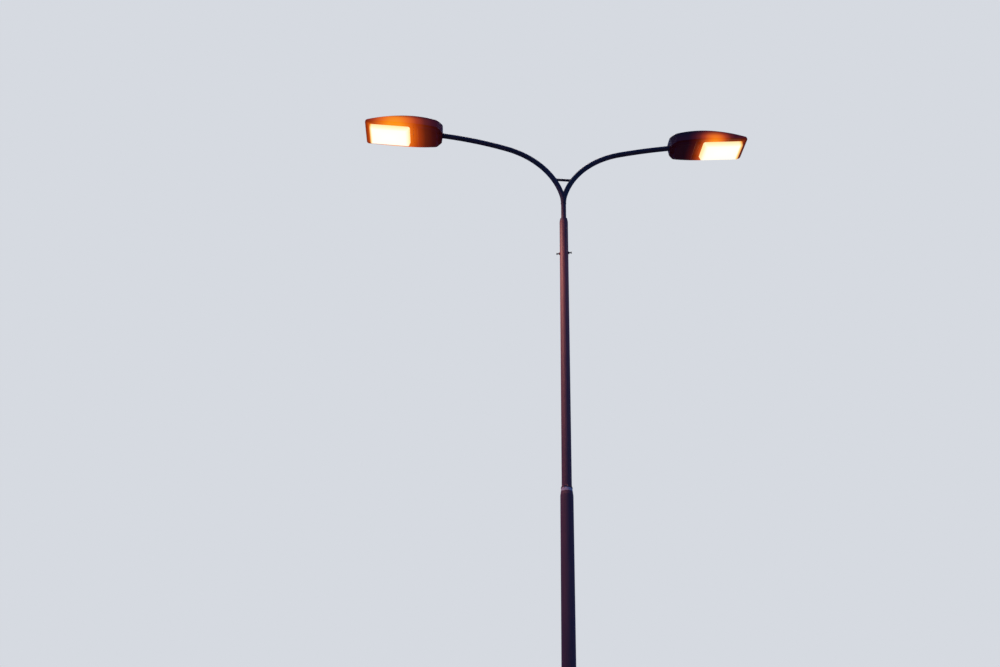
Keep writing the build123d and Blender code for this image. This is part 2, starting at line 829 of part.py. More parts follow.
holder_axis = Plane.YZ.offset(holder_start)
reflector_outside = reflector_block(0)
reflector_inside = reflector_block(reflector_wall)
with BuildPart() as reflector:
    add(reflector_outside)
    with BuildSketch(Plane.XY.offset(reflector_rim_height)):
        with Locations((bowl_middle_x, 0)):
            RectangleRounded(
                reflector_length + 2 * reflector_flange,
                reflector_width + 2 * reflector_flange,
                reflector_corner_radius,
            )
    extrude(amount=reflector_wall)
    add(reflector_inside, mode=Mode.SUBTRACT)
    with BuildSketch(holder_axis):
        with Locations((0, lamp_height)):
            Circle(holder_diameter / 2 + holder_hole_clearance)
    extrude(amount=2 * holder_length, mode=Mode.SUBTRACT)

# Lamp and its holder, both round about one line
lamp_axis = Axis((0, 0, lamp_height), (1, 0, 0))
cap_start = holder_end - lamp_cap_length
neck_radius = lamp_neck_diameter / 2
bulb_radius = lamp_diameter / 2
bulb_start = holder_end + lamp_neck_length
bulb_end = bulb_start + lamp_bulb_length
with BuildPart() as lamp:
    with BuildSketch(Plane.XZ):
        with BuildLine():
            cap_line = Polyline(
                (cap_start, lamp_height),
                (cap_start, lamp_height + neck_radius),
                (holder_end, lamp_height + neck_radius),
            )
            neck_line = Line(cap_line @ 1, (bulb_start, lamp_height + bulb_radius))
            side_line = Line(neck_line @ 1, (bulb_end - bulb_radius, lamp_height + bulb_radius))
            JernArc(start=side_line @ 1, tangent=(1, 0), radius=bulb_radius, arc_size=-90)
            Line((bulb_end, lamp_height), (cap_start, lamp_height))
        make_face()
    revolve(axis=lamp_axis)

with BuildPart() as lamp_holder:
    with BuildSketch(holder_axis):
        with Locations((0, lamp_height)):
            Circle(holder_diameter / 2)
    extrude(amount=holder_length)
    with BuildSketch(holder_axis.offset(holder_length)):
        with Locations((0, lamp_height)):
            Circle(neck_radius + holder_bore_clearance)
    extrude(amount=-lamp_cap_length - holder_bore_clearance, mode=Mode.SUBTRACT)
    rim_edges = lamp_holder.edges().filter_by(GeomType.CIRCLE).group_by(Axis.X)[-1]
    chamfer(rim_edges.sort_by(SortBy.RADIUS)[-1], holder_edge_chamfer)


def cover_belly(inset, top, depth, edge_round):
    """The gear cover's dished middle, set in by inset, from top down by depth."""
    margin = cover_belly_margin
    plan = lantern_outline(lid_inset + margin, cover_start + margin, cover_end - margin)
    with BuildPart() as belly:
        with BuildSketch(Plane.XY.offset(top)):
            add(plan)
            if inset:
                offset(amount=-inset)
        extrude(amount=-depth, taper=cover_belly_taper)
        fillet(belly.faces().sort_by(Axis.Z)[0].edges(), edge_round)
    return belly.part


# Gear cover: the hinged dished plate under the control gear
inner_belly_depth = cover_belly_depth + lid_thickness - cover_wall
belly_outside = cover_belly(0, lid_bottom, cover_belly_depth, cover_belly_round)
belly_inside = cover_belly(cover_wall, lid_top, inner_belly_depth, cover_wall)
cover_knuckles = lid_knuckles(cover_hinge_x, cover_hinge_spacing, cover_start)
cover_bore = hinge_bore(cover_hinge_x, bore_radius)
with BuildPart() as gear_cover:
    with BuildSketch(Plane.XY.offset(lid_top)):
        add(lantern_outline(lid_inset, cover_start, cover_end))
    extrude(amount=-lid_thickness)
    add(belly_outside)
    add(belly_inside, mode=Mode.SUBTRACT)
    with BuildSketch(Plane.XY.offset(lid_top)):
        with Locations((cover_end - cover_catch_inset, 0)):
            Circle(catch_shank_diameter / 2 + catch_clearance)
    extrude(amount=-lid_thickness, mode=Mode.SUBTRACT)
    add(cover_knuckles)
    add(cover_bore, mode=Mode.SUBTRACT)


def catch(x, places):
    """Slotted heads on short shanks that close a lid, at each place across the lantern."""
    with BuildPart() as heads:
        for y in places:
            with BuildSketch(Plane.XY.offset(lid_bottom)):
                with Locations((x, y)):
                    Circle(catch_head_diameter / 2)
            extrude(amount=-catch_head_height)
            with BuildSketch(Plane.XY.offset(lid_bottom)):
                with Locations((x, y)):
                    Circle(catch_shank_diameter / 2)
            extrude(amount=lid_thickness)
            with BuildSketch(Plane.XY.offset(lid_bottom - catch_head_height)):
                with Locations((x, y)):
                    Rectangle(catch_slot_width, catch_head_diameter)
            extrude(amount=catch_slot_depth, mode=Mode.SUBTRACT)
    return heads.part


# Hinge pins, one through each pair of ears
pin_length = 2 * (ear_shift + hinge_ear_width / 2 + hinge_pin_overhang)
with BuildPart() as hinge_pins:
    for hinge_x, spacing in hinges:
        for middle in (-spacing / 2, spacing / 2):
            with BuildSketch(Plane.XZ.offset(-middle - pin_length / 2)):
                with Locations((hinge_x, -hinge_drop)):
                    Circle(hinge_pin_radius - hinge_running_clearance / 4)
            extrude(amount=pin_length)

# Gear tray with the ballast and the capacitor under it
with BuildPart() as gear_tray:
    with BuildSketch(Plane.XY.offset(tray_height)):
        with Locations((tray_middle_x, 0)):
            Rectangle(tray_length, tray_width)
    extrude(amount=tray_thickness)
    with BuildSketch(Plane.XY.offset(tray_height)):
        with Locations((tray_middle_x, 0)):
            with GridLocations(1, tray_width - tray_thickness, 1, 2):
                Rectangle(tray_length, tray_thickness)
    extrude(amount=-tray_flange)

with BuildPart() as ballast:
    with BuildSketch(Plane.XY.offset(tray_height)):
        with Locations((tray_middle_x, -ballast_offset)):
            Rectangle(ballast_length, ballast_width)
    extrude(amount=-ballast_core_height)
    with BuildSketch(Plane.XY.offset(tray_height)):
        with Locations((tray_middle_x, -ballast_offset)):
            RectangleRounded(
                ballast_coil_length, ballast_width - 2 * ballast_coil_inset, ballast_coil_round
            )
    extrude(amount=-ballast_coil_height)
    fillet(ballast.faces().sort_by(Axis.Z)[0].edges(), ballast_coil_round)

capacitor_height = tray_height - capacitor_diameter / 2 - post_gap
with BuildPart() as capacitor:
    with BuildSketch(Plane.YZ.offset(tray_middle_x - capacitor_length / 2)):
        with Locations((capacitor_offset, capacitor_height)):
            Circle(capacitor_diameter / 2)
    extrude(amount=capacitor_length)
    fillet(capacitor.edges(), capacitor_edge_round)

lantern_parts = {
    "housing": housing.part,
    "spigot_clamp": spigot_clamp.part,
    "bowl_frame": bowl_frame.part,
    "bowl": bowl.part,
    "bowl_catches": catch(
        lantern_length - catch_tail_inset, (-catch_spacing / 2, catch_spacing / 2)
    ),
    "reflector": reflector.part,
    "lamp": lamp.part,
    "lamp_holder": lamp_holder.part,
    "gear_cover": gear_cover.part,
    "cover_catch": catch(cover_end - cover_catch_inset, (0,)),
    "gear_tray": gear_tray.part,
    "ballast": ballast.part,
    "capacitor": capacitor.part,
    "hinge_pins": hinge_pins.part,
}


def lantern_seat(side):
    """Where a lantern sits: turned about its arm, then tipped down and dropped to its rim."""
    _, entry = arm_path(side)
    slope = radians(arm_end_slope[side])
    way = {"left": -1, "right": 1}[side]
    along_arm = Plane(
        origin=entry,
        x_dir=(way * cos(slope), 0, sin(slope)),
        z_dir=(-way * sin(slope), 0, cos(slope)),
    )
    turned = along_arm.location * Location((0, 0, 0), (lantern_roll, 0, 0))
    tipped = turned * Location((0, 0, 0), (0, lantern_droop, 0))
    return tipped * Location((0, 0, -spigot_height))


# Write each finished piece
mast_parts = {
    "base_plate": base_plate.part,
    "base_gussets": base_gussets.part,
    "lower_tube": lower_tube.part,
    "door_frame": door_frame.part,
    "door": door.part,
    "door_locks": door_locks.part,
    "lower_weld_ring": lower_weld_ring,
    "middle_tube": middle_tube,
    "upper_weld_ring": upper_weld_ring,
    "top_tube": top_tube.part,
    "set_screws": set_screws.part,
    "bracket_cap": bracket_cap.part,
    "spacer_rings": spacer_rings.part,
    "bracket_stem": bracket_stem.part,
    "left_arm": arms["left"],
    "right_arm": arms["right"],
    "cross_bar": tie_bar,
}
for name, piece in mast_parts.items():
    piece.label = name
    export_step(piece, f"parts/{name}.step")
for side in ("left", "right"):
    seat = lantern_seat(side)
    for name, piece in lantern_parts.items():
        placed = piece.moved(seat)
        placed.label = f"{side}_{name}"
        export_step(placed, f"parts/{side}_{name}.step")
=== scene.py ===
import json
from functools import partial
from math import asin, cos, pi, radians, sin, sqrt

import bmesh
import bpy
from mathutils import Matrix, Vector


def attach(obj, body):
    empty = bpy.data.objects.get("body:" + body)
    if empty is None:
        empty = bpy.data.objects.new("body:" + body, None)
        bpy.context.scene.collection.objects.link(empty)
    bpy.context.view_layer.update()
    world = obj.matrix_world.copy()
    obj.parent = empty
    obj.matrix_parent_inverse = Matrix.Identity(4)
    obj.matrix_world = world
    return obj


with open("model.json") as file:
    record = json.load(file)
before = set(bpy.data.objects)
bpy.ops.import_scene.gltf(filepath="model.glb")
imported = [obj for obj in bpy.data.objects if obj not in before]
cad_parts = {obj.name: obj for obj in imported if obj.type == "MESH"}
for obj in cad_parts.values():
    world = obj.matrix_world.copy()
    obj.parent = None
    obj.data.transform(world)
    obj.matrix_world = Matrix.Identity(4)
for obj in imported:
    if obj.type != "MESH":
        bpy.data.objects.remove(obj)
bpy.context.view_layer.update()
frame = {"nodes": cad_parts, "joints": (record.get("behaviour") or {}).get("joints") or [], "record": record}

# Sizes are metres. +Z is up, the arms lie in the XZ plane and the cable door faces -Y.
SIDES = ("left", "right")

# The camera's place, found by fitting the mast, the arms and the lanterns to the photo
IMAGE_WIDTH = 1000
FOCAL_PIXELS = 852.7
SENSOR_WIDTH = 36.0
EYE = Vector((-0.7676, -6.8519, 1.9578))
YAW = radians(1.13)
PITCH = radians(34.02)
CAMERA_ROLL = radians(2.29)

# Base plate and mast
PLATE_THICKNESS = 0.025
ANCHOR_SPACING = 0.300
GUSSET_REACH = 0.095
GUSSET_HEIGHT = 0.160
GUSSET_THICKNESS = 0.010
LOWER_RADIUS = 0.06985
MIDDLE_RADIUS = 0.05715
TOP_RADIUS = 0.04445
LOWER_TOP = 2.600
MIDDLE_TOP = 5.000
LOWER_WALL = 0.0045
MIDDLE_WALL = 0.004
WELD_RING_HEIGHT = 0.011

# Bracket
STEM_RADIUS = 0.027
ARM_RADIUS = 0.0285
FORK_HEIGHT = 8.324
# The arms rise plumb from the fork, and its bends end where they stand at 76.4 degrees
FORK_BEND_RADIUS = 0.509
FORK_BEND_TURN = radians(90 - 76.4)
MAIN_BEND_RADIUS = 0.935
TIE_BAR_HEIGHT = 8.674
TIE_BAR_RADIUS = 0.014

# Lantern, in its own frame: x runs outwards from the nose and z = 0 is the rim
COVER_HINGE_X = 0.020
HINGE_DROP = 0.012
LID_BOTTOM = -0.0055
BOWL_MIDDLE_X = 0.595
BOWL_LENGTH = 0.462
BOWL_WIDTH = 0.254
LAMP_CAP_END = 0.368

# Anchor bolts' ends. The lock nut's height is a share of the nut's, and the crest of the thread
# reaches out by a share of its pitch
ANCHOR_SIZES = {
    "Plate thickness": PLATE_THICKNESS,
    "Washer diameter": 0.050,
    "Washer thickness": 0.004,
    "Across flats": 0.041,
    "Nut height": 0.0215,
    "Stud diameter": 0.027,
    "Stud top": 0.092,
    "Pitch": 0.003,
}
LOCK_NUT_SHARE = 0.6
LOCK_NUT_TURN = 0.4
THREAD_DEPTH = 0.0008
CREST_SHARE = 0.4
WASHER_SIDES = 40
STUD_SIDES = 32
THREAD_STEPS = 24

# Weld beads: drops laid one ripple apart, each a little different in size
WELD_SIZE = 0.0035
WELD_SIZES = {"Bead radius": WELD_SIZE, "Ripple": 0.003}
WELD_SINK = WELD_SIZE / 3
WELD_SEED = 7
SMALLEST_DROP = (0.85, 0.85, 0.72)
LARGEST_DROP = (1.1, 1.1, 0.8)
# Points along a ring and along a seam, and a rise small enough to measure a slope by
RING_STEPS = 72
SEAM_STEPS = 24
SHORT_RISE = 0.001

# Screws round each bowl frame
SCREW_SIZES = {"Head diameter": 0.011, "Head height": 0.003}
FRAME_SCREW_X = (0.40, 0.53, 0.66, 0.79)
FRAME_SCREW_Y = 0.153

# How rain and brush draw the paint's patterns out along the mast, and the streaks' share in them
RAIN_RUN = (1, 1, 0.12)
BRUSH_STROKE = (1, 1, 0.02)
STREAK_SHARE = 0.3
# The pale band under each step of the mast
PALE_BAND_WIDTH = 0.030
PALE_BAND_DROP = 0.011
PALE_BAND_WANDER = 0.016
# How far the roughness varies from place to place
PAINT_SPREAD = 0.24
ENAMEL_SPREAD = 0.2
METAL_SPREAD = 0.3
ENAMEL_ROUGHNESS = 0.48

# The lamp's light painted on each lantern as a glow, in the lantern's own frame: where it is
# strongest, and how far it reaches along, across and up
GLOW_MIDDLE = {"left": (0.535, 0, 0), "right": (0.49, 0, 0)}
GLOW_REACH = {"left": (0.56, 0.93, 0.5), "right": (0.32, 0.64, 0.29)}
# Beside the glass it is no weaker than at this share of that reach, and it weakens from there
# by one whole reach over this distance
RIM_START = {"left": 0.38, "right": 0.52}
RIM_REACH = 0.20
# On the flanks it fades out between these heights, and from faces that stand nearly upright to
# those that look well up
FLANK_GLOW = {"left": (0.080, 0.150), "right": (0.040, 0.140)}
FLANK_FACING = (-0.55, -0.15)
# A face that looks down gets this times the cosine of its tilt as its share, at most all of it
DOWN_GAIN = 1.6
# From this share of its half length on, the bowl's own light dims to this colour at the end, partly as
# painted shade of the frame's rim
DIM_END = {"left": 0.84, "right": 0.76}
END_LIGHT = {"left": "b06a38", "right": "7c4020"}

# Half the side of the floor
FLOOR_REACH = 40.0


# Colours and nodes
def hex_colour(text):
    """An sRGB hex colour as the linear values that Blender works in, with a full alpha."""
    channels = []
    for start in (0, 2, 4):
        value = int(text[start : start + 2], 16) / 255
        channels.append(value / 12.92 if value <= 0.04045 else ((value + 0.055) / 1.055) ** 2.4)
    return (*channels, 1.0)


def add_node(tree, kind, inputs=None, stops=(), **settings):
    """A node with its settings. An input gets a value, or a link from a node, a socket or each
    of a list, and a colour ramp gets its stops."""
    node = tree.nodes.new(kind)
    for name, value in settings.items():
        setattr(node, name, value)
    for name, value in (inputs or {}).items():
        for source in value if isinstance(value, list) else [value]:
            if isinstance(source, bpy.types.Node):
                source = source.outputs[0]
            if isinstance(source, bpy.types.NodeSocket):
                tree.links.new(source, node.inputs[name])
            else:
                node.inputs[name].default_value = source
    for count, (place, colour) in enumerate(stops):
        if count >= len(node.color_ramp.elements):
            node.color_ramp.elements.new(place)
        node.color_ramp.elements[count].position = place
        node.color_ramp.elements[count].color = hex_colour(colour)
    return node


def new_material(name):
    """An empty node material: its maker of nodes, and the material."""
    material = bpy.data.materials.new(name)
    material.use_nodes = True
    material.node_tree.nodes.clear()
    return partial(add_node, material.node_tree), material


# The lanterns' own frames
def lantern_frame(side):
    """The lantern's own frame in the part's frame, from its two hinge axes."""
    hinges = {joint["name"]: joint for joint in frame["joints"]}
    bowl_hinge = hinges[f"{side}_bowl_lid_hinge"]
    cover_hinge = hinges[f"{side}_gear_lid_hinge"]
    across = Vector(bowl_hinge["axis"]).normalized()
    cover_point = Vector(cover_hinge["pos_m"])
    outwards = (Vector(bowl_hinge["pos_m"]) - cover_point).normalized()
    up = outwards.cross(across).normalized()
    origin = cover_point - COVER_HINGE_X * outwards + HINGE_DROP * up
    matrix = Matrix.Identity(4)
    for column, axis in enumerate((outwards, across, up, origin)):
        for row in range(3):
            matrix[row][column] = axis[row]
    return matrix


LANTERN = {side: lantern_frame(side) for side in SIDES}


def lantern_place(add, side):
    """Object coordinates turned into the lantern's own frame."""
    return add(
        "ShaderNodeMapping",
        {
            "Vector": add("ShaderNodeTexCoord").outputs["Object"],
            "Location": LANTERN[side].to_translation(),
            "Rotation": LANTERN[side].to_euler(),
        },
        vector_type="TEXTURE",
    )


# Materials
def brushed_paint(name, light, middle, dark, rough, pale_banded=False):
    """Alkyd paint brushed along steel tube: long fine streaks, weathered runs and a soft satin
    sheen. The eye gets a dull, slightly uneven colour whose highlight breaks up along the tube."""
    add, material = new_material(name)
    place = add("ShaderNodeTexCoord").outputs["Object"]
    # Weathered patches some 150 mm across, drawn out down the mast by the rain
    runs = add("ShaderNodeMapping", {"Vector": place, "Scale": RAIN_RUN})
    patches = add("ShaderNodeTexNoise", {"Vector": runs, "Scale": 7.0, "Detail": 5.0})
    # Brush marks 6 mm apart, drawn coarser than real bristle marks so that they show
    strokes = add("ShaderNodeMapping", {"Vector": place, "Scale": BRUSH_STROKE})
    streaks = add("ShaderNodeTexNoise", {"Vector": strokes, "Scale": 160.0, "Detail": 3.0})
    faint = add("ShaderNodeMath", {0: streaks, 1: STREAK_SHARE}, operation="MULTIPLY")
    blend = add(
        "ShaderNodeMath", {0: patches, 1: 1 - STREAK_SHARE, 2: faint}, operation="MULTIPLY_ADD"
    )
    base = add(
        "ShaderNodeValToRGB", {"Fac": blend}, stops=((0.34, dark), (0.5, middle), (0.66, light))
    )
    if pale_banded:
        # A pale band shows just under each welded step. Its edge
        # wanders by some 5 mm, in waves some 20 mm long
        height = add("ShaderNodeSeparateXYZ", {"Vector": place}).outputs["Z"]
        wander = add("ShaderNodeTexNoise", {"Vector": place, "Scale": 45.0})
        edge = add(
            "ShaderNodeMath", {0: wander, 1: PALE_BAND_WANDER, 2: height}, operation="MULTIPLY_ADD"
        )
        bands = [
            add(
                "ShaderNodeMath",
                {0: edge, 1: top - PALE_BAND_DROP, 2: PALE_BAND_WIDTH / 2},
                operation="COMPARE",
            )
            for top in (LOWER_TOP, MIDDLE_TOP)
        ]
        pale_band = add("ShaderNodeMath", {0: bands[0], 1: bands[1]}, operation="MAXIMUM")
        pale_colour = add(
            "ShaderNodeValToRGB", {"Fac": streaks}, stops=((0.3, "a88e8c"), (0.6, "dcc4bd"))
        )
        mixed = add("ShaderNodeMix", {"Factor": pale_band, 6: base, 7: pale_colour}, data_type="RGBA")
        base = mixed.outputs[2]
    sheen = add(
        "ShaderNodeMath",
        {0: patches, 1: PAINT_SPREAD, 2: rough - PAINT_SPREAD / 2},
        operation="MULTIPLY_ADD",
    )
    # Orange peel some 5 mm across
    peel = add("ShaderNodeTexNoise", {"Vector": place, "Scale": 190.0, "Detail": 2.0})
    relief = add("ShaderNodeMath", {0: streaks, 1: peel}, operation="ADD")
    bump = add("ShaderNodeBump", {"Strength": 0.3, "Distance": 0.0006, "Height": relief})
    shader = add(
        "ShaderNodeBsdfPrincipled",
        {"Base Color": base, "Roughness": sheen, "IOR": 1.48, "Normal": bump},
    )
    add("ShaderNodeOutputMaterial", {"Surface": shader})
    return material


def lantern_enamel(side):
    """Stoved enamel on sand-cast aluminium: a fine cast grain under a dark satin coat. The lit
    bowl's orange spill light is painted on it as a glow, strongest beside the glass and dying away
    towards the nose, the outer end and the crown."""
    add, material = new_material(f"{side} lantern stoved enamel on cast aluminium")
    place = lantern_place(add, side)
    # Sand grain of about 2 mm, and faded patches some 70 mm across
    grain = add("ShaderNodeTexNoise", {"Vector": place, "Scale": 420.0, "Detail": 3.0})
    patches = add("ShaderNodeTexNoise", {"Vector": place, "Scale": 14.0, "Detail": 5.0})
    base = add(
        "ShaderNodeValToRGB",
        {"Fac": patches},
        stops=((0.32, "170d12"), (0.52, "21131a"), (0.7, "2f1c24")),
    )
    bump = add("ShaderNodeBump", {"Strength": 0.3, "Distance": 0.0008, "Height": grain})
    # How far from the lamp, as a share of the reach
    offset = add("ShaderNodeVectorMath", {0: place, 1: GLOW_MIDDLE[side]}, operation="SUBTRACT")
    spread = add("ShaderNodeVectorMath", {0: offset, 1: GLOW_REACH[side]}, operation="DIVIDE")
    length = add("ShaderNodeVectorMath", {0: spread}, operation="LENGTH")
    # How far from the glass, on the same scale, and the nearer of the two
    bowl_middle = (BOWL_MIDDLE_X, 0, LID_BOTTOM)
    half_bowl = (BOWL_LENGTH / 2, BOWL_WIDTH / 2, 0)
    from_middle = add("ShaderNodeVectorMath", {0: place, 1: bowl_middle}, operation="SUBTRACT")
    either_way = add("ShaderNodeVectorMath", {0: from_middle}, operation="ABSOLUTE")
    past_edge = add("ShaderNodeVectorMath", {0: either_way, 1: half_bowl}, operation="SUBTRACT")
    outside = add("ShaderNodeVectorMath", {0: past_edge, 1: (0, 0, 0)}, operation="MAXIMUM")
    gap = add("ShaderNodeVectorMath", {0: outside}, operation="LENGTH")
    rim = add(
        "ShaderNodeMath",
        {0: gap.outputs["Value"], 1: 1 / RIM_REACH, 2: RIM_START[side]},
        operation="MULTIPLY_ADD",
    )
    away = add(
        "ShaderNodeMath",
        {0: length.outputs["Value"], 1: rim},
        operation="MINIMUM",
        use_clamp=True,
    )
    spill = add(
        "ShaderNodeValToRGB",
        {"Fac": away},
        stops=(
            (0.0, "ff9a04"),
            (0.2, "fb9006"),
            (0.3, "ee7209"),
            (0.38, "d65c0a"),
            (0.48, "a83a02"),
            (0.63, "621d00"),
            (0.78, "3e0900"),
            (0.92, "260202"),
            (1.0, "180001"),
        ),
    )
    # Faces that look down get all of it, and the flanks a share that fades with their height
    normal = add("ShaderNodeNewGeometry").outputs["Normal"]
    down = -(LANTERN[side].to_3x3() @ Vector((0, 0, 1)))
    facing = add("ShaderNodeVectorMath", {0: normal, 1: down}, operation="DOT_PRODUCT")
    below = add(
        "ShaderNodeMath",
        {0: facing.outputs["Value"], 1: DOWN_GAIN},
        operation="MULTIPLY",
        use_clamp=True,
    )
    height = add("ShaderNodeSeparateXYZ", {"Vector": place}).outputs["Z"]
    climb = add(
        "ShaderNodeMapRange",
        {
            "Value": height,
            "From Min": FLANK_GLOW[side][0],
            "From Max": FLANK_GLOW[side][1],
            "To Min": 1.0,
            "To Max": 0.0,
        },
    )
    upright = add(
        "ShaderNodeMapRange",
        {
            "Value": facing.outputs["Value"],
            "From Min": FLANK_FACING[0],
            "From Max": FLANK_FACING[1],
        },
    )
    flank = add("ShaderNodeMath", {0: climb, 1: upright}, operation="MULTIPLY")
    share = add("ShaderNodeMath", {0: below, 1: flank}, operation="MAXIMUM")
    # The bowl's orange spill light, painted on as emission over the faces that look down and the lower
    # flanks
    lit = add(
        "ShaderNodeMix", {"Factor": share, 6: (0, 0, 0, 1), 7: spill}, data_type="RGBA"
    )
    sheen = add(
        "ShaderNodeMath",
        {0: patches, 1: ENAMEL_SPREAD, 2: ENAMEL_ROUGHNESS - ENAMEL_SPREAD / 2},
        operation="MULTIPLY_ADD",
    )
    shader = add(
        "ShaderNodeBsdfPrincipled",
        {
            "Base Color": base,
            "Roughness": sheen,
            "IOR": 1.5,
            "Specular IOR Level": 0.32,
            "Normal": bump,
            "Emission Color": lit.outputs[2],
            "Emission Strength": 1.0,
        },
    )
    add("ShaderNodeOutputMaterial", {"Surface": shader})
    return material


def bowl_glass(side):
    """Pressed clear glass lit from behind: nearly white over the lamp, and amber at its edges
    and down its thick sides, where the light comes through more glass."""
    add, material = new_material(f"{side} bowl pressed glass lit from within")
    place = lantern_place(add, side)
    offset = add(
        "ShaderNodeVectorMath", {0: place, 1: (BOWL_MIDDLE_X, 0, 0)}, operation="SUBTRACT"
    )
    share = add(
        "ShaderNodeVectorMath",
        {0: offset, 1: (2 / BOWL_LENGTH, 2 / BOWL_WIDTH, 0)},
        operation="MULTIPLY",
    )
    size = add("ShaderNodeVectorMath", {0: share}, operation="ABSOLUTE")
    split = add("ShaderNodeSeparateXYZ", {"Vector": size})
    edge = add(
        "ShaderNodeMath",
        {0: split.outputs["X"], 1: split.outputs["Y"]},
        operation="MAXIMUM",
    )
    colour = add(
        "ShaderNodeValToRGB",
        {"Fac": edge},
        stops=((0.0, "fffffa"), (0.8, "fffdf2"), (0.93, "fff3cf"), (1.0, "ffdf9a")),
    )
    # The outer end, past the lamp, turns amber and then dim: the lamp's light is weaker there, and the
    # frame's rim adds painted shade
    outwards = add("ShaderNodeSeparateXYZ", {"Vector": share}).outputs["X"]
    end = add(
        "ShaderNodeMapRange",
        {"Value": outwards, "From Min": DIM_END[side], "From Max": 1.0},
        interpolation_type="SMOOTHSTEP",
    )
    amber = add(
        "ShaderNodeValToRGB",
        {"Fac": end},
        stops=((0.0, "ffffff"), (0.35, "ffe6a6"), (0.7, "f0a852"), (1.0, END_LIGHT[side])),
    )
    dimmed = add(
        "ShaderNodeMix",
        {"Factor": 1.0, 6: colour, 7: amber},
        data_type="RGBA",
        blend_type="MULTIPLY",
    )
    # Faint waves some 17 mm long, as pressing leaves them
    waves = add("ShaderNodeTexNoise", {"Vector": place, "Scale": 60.0, "Detail": 2.0})
    bump = add("ShaderNodeBump", {"Strength": 0.2, "Distance": 0.001, "Height": waves})
    shader = add(
        "ShaderNodeBsdfPrincipled",
        {
            "Base Color": hex_colour("8a7a58"),
            "Roughness": 0.08,
            "IOR": 1.52,
            "Normal": bump,
            "Transmission Weight": 0.15,
            "Emission Color": dimmed.outputs[2],
            "Emission Strength": 1.0,
        },
    )
    add("ShaderNodeOutputMaterial", {"Surface": shader})
    return material


def lamp_glass(side):
    """A frosted bulb that glows nearly white, with a plated screw cap: the eye gets a soft,
    even light that ends sharply at dull metal."""
    add, material = new_material(f"{side} lamp frosted glass and plated cap")
    place = lantern_place(add, side)
    along = add("ShaderNodeSeparateXYZ", {"Vector": place}).outputs["X"]
    glass = add("ShaderNodeMath", {0: along, 1: LAMP_CAP_END}, operation="GREATER_THAN")
    colour = add(
        "ShaderNodeMix",
        {"Factor": glass, 6: hex_colour("8c7a50"), 7: hex_colour("fff4dc")},
        data_type="RGBA",
    )
    glow = add(
        "ShaderNodeMix",
        {"Factor": glass, 6: (0, 0, 0, 1), 7: hex_colour("ffe2a0")},
        data_type="RGBA",
    )
    metal = add("ShaderNodeMath", {0: 1.0, 1: glass}, operation="SUBTRACT")
    # The screw cap's thread, 4 mm from crest to crest
    thread = add("ShaderNodeTexWave", {"Vector": place, "Scale": 80.0}, bands_direction="X")
    bump = add("ShaderNodeBump", {"Strength": metal, "Distance": 0.002, "Height": thread})
    shader = add(
        "ShaderNodeBsdfPrincipled",
        {
            "Base Color": colour.outputs[2],
            "Metallic": metal,
            "Roughness": 0.35,
            "Normal": bump,
            "Emission Color": glow.outputs[2],
            "Emission Strength": 1.6,
        },
    )
    add("ShaderNodeOutputMaterial", {"Surface": shader})
    return material


def spangled_metal(name, light, dark, rough, metal=1.0):
    """A bare or plated metal with a fine mottle of spangles some 4 mm across, so that its
    highlight is broken up and looks weathered, not polished."""
    add, material = new_material(name)
    place = add("ShaderNodeTexCoord").outputs["Object"]
    spangle = add("ShaderNodeTexNoise", {"Vector": place, "Scale": 260.0, "Detail": 4.0})
    base = add("ShaderNodeValToRGB", {"Fac": spangle}, stops=((0.3, dark), (0.65, light)))
    sheen = add(
        "ShaderNodeMath",
        {0: spangle, 1: METAL_SPREAD, 2: rough - METAL_SPREAD / 2},
        operation="MULTIPLY_ADD",
    )
    bump = add("ShaderNodeBump", {"Strength": 0.2, "Distance": 0.0004, "Height": spangle})
    shader = add(
        "ShaderNodeBsdfPrincipled",
        {"Base Color": base, "Metallic": metal, "Roughness": sheen, "Normal": bump},
    )
    add("ShaderNodeOutputMaterial", {"Surface": shader})
    return material


def lit_reflector(side):
    """Bright anodised aluminium sheet with shallow hammered dimples, with the lamp's warm light
    painted on it as a glow: the eye gets many small soft glints that fade away from the lamp."""
    add, material = new_material(f"{side} reflector hammered anodised aluminium")
    place = lantern_place(add, side)
    # Dimples 12 mm apart
    dimples = add("ShaderNodeTexVoronoi", {"Vector": place, "Scale": 80.0}, feature="SMOOTH_F1")
    bump = add("ShaderNodeBump", {"Strength": 0.5, "Distance": 0.002, "Height": dimples})
    split = add("ShaderNodeSeparateXYZ", {"Vector": place})
    across = add("ShaderNodeMath", {0: split.outputs["Y"]}, operation="ABSOLUTE")
    # The lamp's warm light painted on as emission, fading from the middle of the sheet to its sides
    fade = add("ShaderNodeMapRange", {"Value": across, "From Max": BOWL_WIDTH / 2})
    glow = add(
        "ShaderNodeValToRGB",
        {"Fac": fade},
        stops=((0.0, "ffe9b8"), (0.5, "e8b060"), (1.0, "8a5418")),
    )
    shader = add(
        "ShaderNodeBsdfPrincipled",
        {
            "Base Color": hex_colour("d9d9d6"),
            "Metallic": 1.0,
            "Roughness": 0.22,
            "Normal": bump,
            "Emission Color": glow,
            "Emission Strength": 0.5,
        },
    )
    add("ShaderNodeOutputMaterial", {"Surface": shader})
    return material


def glazed_porcelain():
    """Glazed porcelain of the lamp holders: cream white and glossy, with a few dark specks."""
    add, material = new_material("glazed porcelain")
    place = add("ShaderNodeTexCoord").outputs["Object"]
    # Specks 2 mm apart
    specks = add("ShaderNodeTexNoise", {"Vector": place, "Scale": 500.0, "Detail": 2.0})
    base = add("ShaderNodeValToRGB", {"Fac": specks}, stops=((0.25, "8f8878"), (0.34, "e6dfd0")))
    shader = add("ShaderNodeBsdfPrincipled", {"Base Color": base, "Roughness": 0.12, "IOR": 1.5})
    add("ShaderNodeOutputMaterial", {"Surface": shader})
    return material


